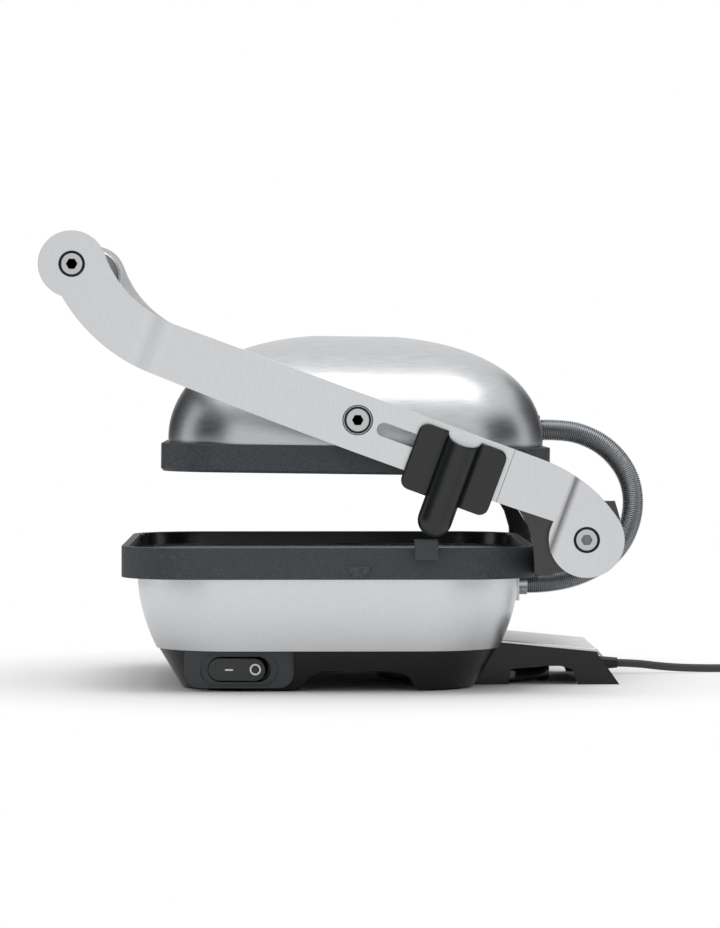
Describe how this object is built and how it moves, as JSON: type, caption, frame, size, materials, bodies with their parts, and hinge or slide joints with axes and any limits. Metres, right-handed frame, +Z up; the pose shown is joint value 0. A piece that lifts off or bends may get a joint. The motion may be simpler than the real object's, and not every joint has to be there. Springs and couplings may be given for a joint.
{
  "type": "panini press",
  "caption": "Contact grill with two hot plates, a floating domed lid on two swing arms, a sliding height clip and a rear cord stand.",
  "frame": {"origin": "on the counter, under the middle of the lower plate", "axes": "+Z up, -Y towards the user and the handle, +Y towards the hinge and the mains cord, +X the side with the switch and the height clip"},
  "size_m": [0.3139, 0.4922, 0.2662],
  "materials": {
    "silver_paint": "satin silver coat",
    "brushed_steel": "brushed, lengthwise",
    "arm_metal": "die-cast, satin",
    "plate_cast": "die-cast, dark non-stick coat",
    "black_plastic": "moulded, fine grain",
    "panel_plastic": "satin dark grey",
    "gloss_black": "gloss black enamel",
    "bright_steel": "turned, zinc bright",
    "bronze": "sintered",
    "heater_steel": "heat-tinted",
    "hose_steel": "spiral-wound hose",
    "rubber_black": "soft",
    "cord_pvc": "matt PVC",
    "lens_red": "translucent",
    "lens_green": "translucent"
  },
  "bodies": {
    "base": {"lower_housing": "silver_paint", "base_tray": "black_plastic", "rubber_feet": "rubber_black", "base_screws": "bright_steel", "switch_panel": "panel_plastic", "switch_body": "black_plastic", "lower_plate": "plate_cast", "lower_element": "heater_steel", "lower_reflector": "brushed_steel", "lower_thermostat": "bright_steel", "thermal_fuse": "bright_steel", "terminal_block": "black_plastic", "base_wiring": "cord_pvc", "rear_stand": "black_plastic", "rear_stand_cover": "silver_paint", "cord_wrap_disc": "black_plastic", "hinge_bracket": "gloss_black", "bracket_bolts": "bright_steel", "lower_conduit_fitting": "bright_steel", "cord_gland": "black_plastic", "power_light": "lens_red", "ready_light": "lens_green", "conduit": "hose_steel", "mains_cord": "cord_pvc", "cord_coil": "cord_pvc", "mains_plug": "cord_pvc"},
    "hinge_pins": {"hinge_bolts": "bright_steel", "hinge_bushes": "bronze", "hinge_washers": "bright_steel"},
    "arms": {"right_arm": "arm_metal", "left_arm": "arm_metal", "handle_grip": "black_plastic", "handle_tie_rod": "bright_steel", "handle_bolts": "bright_steel", "handle_collars": "arm_metal", "pivot_bushes": "bronze", "pivot_washers": "bright_steel"},
    "lid": {"lid_dome": "brushed_steel", "lid_chassis": "brushed_steel", "upper_plate": "plate_cast", "upper_element": "heater_steel", "upper_thermostat": "bright_steel", "pivot_blocks": "arm_metal", "pivot_bolts": "bright_steel", "upper_plate_screws": "bright_steel", "upper_conduit_flange": "gloss_black", "lid_wiring": "cord_pvc"},
    "clip": {"height_clip": "black_plastic", "clip_stud": "bright_steel", "clip_washer": "bright_steel"},
    "rocker": {"power_rocker": "panel_plastic"}
  },
  "joints": [
    {"name": "arm_press", "type": "hinge", "parent": "base", "child": "hinge_pins", "pos_m": [0, 0.1471, 0.0895], "axis": [-1, 0, 0], "range_deg": [-20.35, 0]},
    {"name": "arm_open", "type": "hinge", "parent": "hinge_pins", "child": "arms", "pos_m": [0, 0.1471, 0.0895], "axis": [-1, 0, 0], "range_deg": [0, 78], "deforming": ["conduit"]},
    {"name": "lid_pivot", "type": "hinge", "parent": "arms", "child": "lid", "pos_m": [0, 0.0163, 0.15798], "axis": [-1, 0, 0], "range_deg": [-0.1, 19.7]},
    {"name": "clip_slide", "type": "slide", "parent": "arms", "child": "clip", "axis": [0, -0.9385, 0.3453], "range_m": [0, 0.0442]},
    {"name": "rocker_tilt", "type": "hinge", "parent": "base", "child": "rocker", "pos_m": [0.1012, -0.0519, 0.0129], "axis": [0, 0, 1], "range_deg": [0, 15]}
  ],
  "couplings": [
    {"joint": "lid_pivot", "follows": "arm_press", "ratio": -0.96315}
  ]
}
